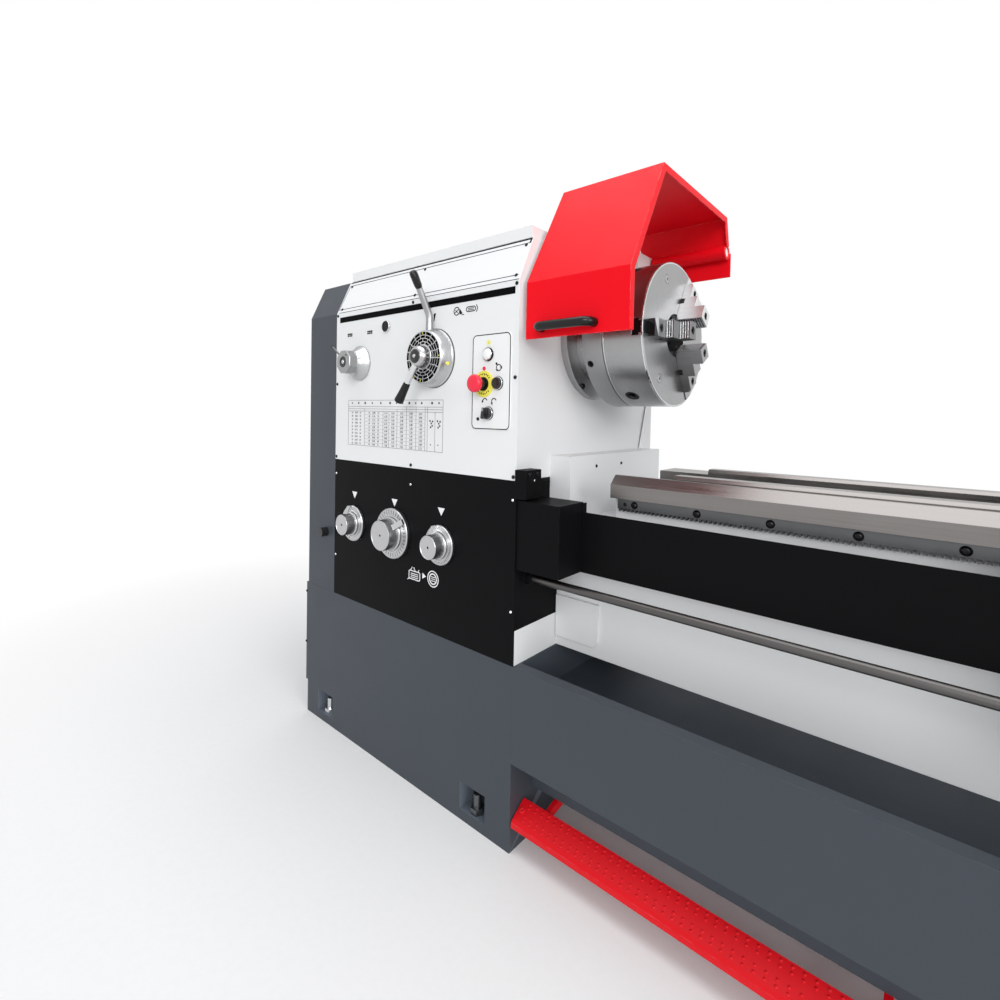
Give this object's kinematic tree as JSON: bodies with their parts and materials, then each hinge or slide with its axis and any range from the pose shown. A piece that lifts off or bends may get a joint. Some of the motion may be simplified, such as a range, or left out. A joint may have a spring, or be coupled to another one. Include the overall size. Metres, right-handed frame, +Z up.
{
  "type": "manual engine lathe",
  "caption": "Manual gap-bed metal lathe with geared headstock, guarded three-jaw chuck, screw-driven carriage with compound slide, tailstock, chip tray and foot brake.",
  "frame": {"origin": "on the floor at the centre of the rectangle of the four outer anchor holes, straight below the spindle axis", "axes": "+X along the bed from the headstock to the tailstock, -Y towards the operator, +Z up"},
  "size_m": [2.89, 0.7381, 1.4995],
  "materials": {
    "light_grey_paint": "semi-gloss",
    "white_paint": "semi-gloss",
    "slate_paint": "semi-gloss",
    "dark_tray_paint": "semi-gloss",
    "black_paint": "satin",
    "red_paint": "gloss",
    "motor_paint": "satin",
    "ground_steel": "ground",
    "turned_steel": "turned",
    "bright_steel": "polished",
    "dark_steel": "oiled",
    "cast_iron": "machined",
    "black_plastic": "matt",
    "red_plastic": "gloss",
    "plate_white": "satin",
    "sight_glass": "clear",
    "belt_rubber": "matt"
  },
  "bodies": {
    "frame": {"cabinet_legs": "slate_paint", "chip_tray": "dark_tray_paint", "levelling_screws": "bright_steel", "bed": "light_grey_paint", "rack": "dark_steel", "bed_covers": "light_grey_paint", "end_bracket": "light_grey_paint", "headstock_casing": "light_grey_paint", "headstock_covers": "white_paint", "screws": "dark_steel", "control_plate": "plate_white", "oil_sight_glass": "sight_glass", "front_bearing_cover": "cast_iron", "spindle_bearings": "bright_steel", "feed_gearbox": "black_paint", "screw_guard_box": "black_paint", "guard_switch": "black_plastic", "guard_hinge": "light_grey_paint", "motor": "motor_paint", "drive_belts": "belt_rubber"},
    "spindle_and_chuck": {"spindle": "ground_steel", "spindle_gear": "ground_steel", "chuck_backplate": "cast_iron", "chuck_body": "turned_steel"},
    "front_jaw": {"front_jaw": "dark_steel"},
    "lower_jaw": {"lower_jaw": "dark_steel"},
    "upper_jaw": {"upper_jaw": "dark_steel"},
    "input_shaft": {"input_shaft": "ground_steel"},
    "motor_rotor": {"motor_rotor": "ground_steel"},
    "chuck_guard": {"chuck_guard": "red_paint", "guard_handle": "black_plastic"},
    "end_cover": {"end_cover": "slate_paint"},
    "end_cover_knob": {"end_cover_knob": "black_plastic"},
    "speed_drum": {"speed_drum": "bright_steel"},
    "speed_lever": {"speed_lever": "bright_steel"},
    "range_knob": {"range_knob": "bright_steel"},
    "left_feed_knob": {"left_feed_knob": "turned_steel"},
    "middle_feed_knob": {"middle_feed_knob": "turned_steel"},
    "right_feed_knob": {"right_feed_knob": "turned_steel"},
    "stop_button": {"stop_button": "red_plastic"},
    "jog_button": {"jog_button": "black_plastic"},
    "selector_switch": {"selector_switch": "black_plastic"},
    "brake_pedal": {"brake_pedal": "red_paint"},
    "leadscrew": {"leadscrew": "ground_steel"},
    "feed_rod": {"feed_rod": "ground_steel"},
    "start_rod": {"start_rod": "ground_steel"},
    "carriage": {"saddle": "light_grey_paint", "apron": "light_grey_paint", "screw_guard": "black_paint"},
    "carriage_handwheel": {"carriage_handwheel": "bright_steel"},
    "start_lever": {"start_lever": "black_plastic"},
    "cross_slide": {"cross_slide": "cast_iron"},
    "cross_slide_handle": {"cross_slide_handle": "bright_steel"},
    "swivel_base": {"swivel_base": "cast_iron"},
    "top_slide": {"top_slide": "cast_iron"},
    "top_slide_handle": {"top_slide_handle": "bright_steel"},
    "tool_post": {"tool_post": "dark_steel"},
    "tailstock": {"tailstock": "light_grey_paint"},
    "quill": {"quill": "ground_steel"},
    "tailstock_handwheel": {"tailstock_handwheel": "bright_steel"}
  },
  "joints": [
    {"name": "spindle_spin", "type": "hinge", "parent": "frame", "child": "spindle_and_chuck", "pos_m": [-0.545, 0, 1.169], "axis": [1, 0, 0], "continuous": true},
    {"name": "input_shaft_spin", "type": "hinge", "parent": "frame", "child": "input_shaft", "pos_m": [-1.265, 0.15122, 1.00105], "axis": [1, 0, 0], "continuous": true},
    {"name": "motor_spin", "type": "hinge", "parent": "frame", "child": "motor_rotor", "pos_m": [-1.265, 0.15122, 0.23], "axis": [1, 0, 0], "continuous": true},
    {"name": "front_jaw_slide", "type": "slide", "parent": "spindle_and_chuck", "child": "front_jaw", "axis": [0, -1, 0], "range_m": [-0.016, 0.026]},
    {"name": "lower_jaw_slide", "type": "slide", "parent": "spindle_and_chuck", "child": "lower_jaw", "axis": [0, 0.5, -0.866], "range_m": [-0.016, 0.026]},
    {"name": "upper_jaw_slide", "type": "slide", "parent": "spindle_and_chuck", "child": "upper_jaw", "axis": [0, 0.5, 0.866], "range_m": [-0.016, 0.026]},
    {"name": "chuck_guard_swing", "type": "hinge", "parent": "frame", "child": "chuck_guard", "pos_m": [-0.545, 0.236, 1.415], "axis": [1, 0, 0], "range_deg": [-100, 0]},
    {"name": "end_cover_swing", "type": "hinge", "parent": "frame", "child": "end_cover", "pos_m": [-1.265, 0.345, 0.8], "axis": [0, 0, 1], "range_deg": [-110, 0]},
    {"name": "end_cover_knob_turn", "type": "hinge", "parent": "end_cover", "child": "end_cover_knob", "pos_m": [-1.312, -0.306, 0.601], "axis": [0, 1, 0], "range_deg": [-90, 90]},
    {"name": "speed_drum_turn", "type": "hinge", "parent": "frame", "child": "speed_drum", "pos_m": [-0.819, -0.306, 1.113], "axis": [0, 1, 0], "range_deg": [-45, 45]},
    {"name": "speed_lever_turn", "type": "hinge", "parent": "speed_drum", "child": "speed_lever", "pos_m": [-0.819, -0.356, 1.113], "axis": [0, 1, 0], "range_deg": [-40, 40]},
    {"name": "range_knob_turn", "type": "hinge", "parent": "frame", "child": "range_knob", "pos_m": [-1.139, -0.306, 1.115], "axis": [0, 1, 0], "range_deg": [-45, 45]},
    {"name": "left_feed_knob_turn", "type": "hinge", "parent": "frame", "child": "left_feed_knob", "pos_m": [-1.159, -0.306, 0.65], "axis": [0, 1, 0], "range_deg": [-150, 150]},
    {"name": "middle_feed_knob_turn", "type": "hinge", "parent": "frame", "child": "middle_feed_knob", "pos_m": [-0.971, -0.306, 0.65], "axis": [0, 1, 0], "range_deg": [-150, 150]},
    {"name": "right_feed_knob_turn", "type": "hinge", "parent": "frame", "child": "right_feed_knob", "pos_m": [-0.784, -0.306, 0.65], "axis": [0, 1, 0], "range_deg": [-150, 150]},
    {"name": "stop_button_press", "type": "slide", "parent": "frame", "child": "stop_button", "axis": [0, 1, 0], "range_m": [0, 0.004]},
    {"name": "jog_button_press", "type": "slide", "parent": "frame", "child": "jog_button", "axis": [0, 1, 0], "range_m": [0, 0.003], "stiffness_N_per_m": 1500},
    {"name": "selector_turn", "type": "hinge", "parent": "frame", "child": "selector_switch", "pos_m": [-0.63, -0.306, 0.978], "axis": [0, 1, 0], "range_deg": [-45, 45]},
    {"name": "brake_pedal_press", "type": "hinge", "parent": "frame", "child": "brake_pedal", "pos_m": [0, -0.15, 0.118], "axis": [1, 0, 0], "range_deg": [0, 8], "stiffness_Nm_per_rad": 900, "springref_deg": -5.73},
    {"name": "leadscrew_spin", "type": "hinge", "parent": "frame", "child": "leadscrew", "pos_m": [0, -0.18, 0.735], "axis": [1, 0, 0], "continuous": true},
    {"name": "feed_rod_spin", "type": "hinge", "parent": "frame", "child": "feed_rod", "pos_m": [0, -0.18, 0.665], "axis": [1, 0, 0], "continuous": true},
    {"name": "start_rod_turn", "type": "hinge", "parent": "frame", "child": "start_rod", "pos_m": [0, -0.258, 0.609], "axis": [1, 0, 0], "range_deg": [-15, 15]},
    {"name": "carriage_slide", "type": "slide", "parent": "frame", "child": "carriage", "axis": [1, 0, 0], "range_m": [-0.56, 0.14]},
    {"name": "carriage_handwheel_turn", "type": "hinge", "parent": "carriage", "child": "carriage_handwheel", "pos_m": [0.42, -0.292, 0.655], "axis": [0, 1, 0], "range_deg": [-330, 1300]},
    {"name": "start_lever_turn", "type": "hinge", "parent": "carriage", "child": "start_lever", "pos_m": [0.763, -0.258, 0.609], "axis": [1, 0, 0], "range_deg": [-15, 15]},
    {"name": "cross_slide_slide", "type": "slide", "parent": "carriage", "child": "cross_slide", "axis": [0, 1, 0], "range_m": [-0.075, 0.1]},
    {"name": "cross_slide_handle_turn", "type": "hinge", "parent": "carriage", "child": "cross_slide_handle", "pos_m": [0.535, -0.292, 0.885], "axis": [0, 1, 0], "range_deg": [-7300, 7300]},
    {"name": "compound_swivel", "type": "hinge", "parent": "cross_slide", "child": "swivel_base", "pos_m": [0.535, -0.035, 0.974], "axis": [0, 0, 1], "range_deg": [-90, 90]},
    {"name": "top_slide_slide", "type": "slide", "parent": "swivel_base", "child": "top_slide", "axis": [1, 0, 0], "range_m": [-0.04, 0.04]},
    {"name": "top_slide_handle_turn", "type": "hinge", "parent": "top_slide", "child": "top_slide_handle", "pos_m": [0.675, -0.035, 1.0539], "axis": [1, 0, 0], "range_deg": [-3000, 3000]},
    {"name": "tool_post_turn", "type": "hinge", "parent": "top_slide", "child": "tool_post", "pos_m": [0.495, -0.035, 1.082], "axis": [0, 0, 1], "range_deg": [-180, 180]},
    {"name": "tailstock_slide", "type": "slide", "parent": "frame", "child": "tailstock", "axis": [1, 0, 0], "range_m": [-0.26, 0]},
    {"name": "quill_slide", "type": "slide", "parent": "tailstock", "child": "quill", "axis": [-1, 0, 0], "range_m": [0, 0.15]},
    {"name": "tailstock_handwheel_turn", "type": "hinge", "parent": "tailstock", "child": "tailstock_handwheel", "pos_m": [1.377, 0, 1.169], "axis": [1, 0, 0], "range_deg": [-9100, 9100]}
  ],
  "couplings": [
    {"joint": "input_shaft_spin", "follows": "spindle_spin", "ratio": -1.9737},
    {"joint": "motor_spin", "follows": "spindle_spin", "ratio": -3.9474},
    {"joint": "lower_jaw_slide", "follows": "front_jaw_slide", "ratio": 1},
    {"joint": "upper_jaw_slide", "follows": "front_jaw_slide", "ratio": 1},
    {"joint": "carriage_handwheel_turn", "follows": "carriage_slide", "rad_per_m": -40},
    {"joint": "start_lever_turn", "follows": "start_rod_turn", "ratio": 1},
    {"joint": "cross_slide_handle_turn", "follows": "cross_slide_slide", "rad_per_m": 1256.6},
    {"joint": "top_slide_handle_turn", "follows": "top_slide_slide", "rad_per_m": -1256.6},
    {"joint": "tailstock_handwheel_turn", "follows": "quill_slide", "rad_per_m": 1047.2}
  ]
}
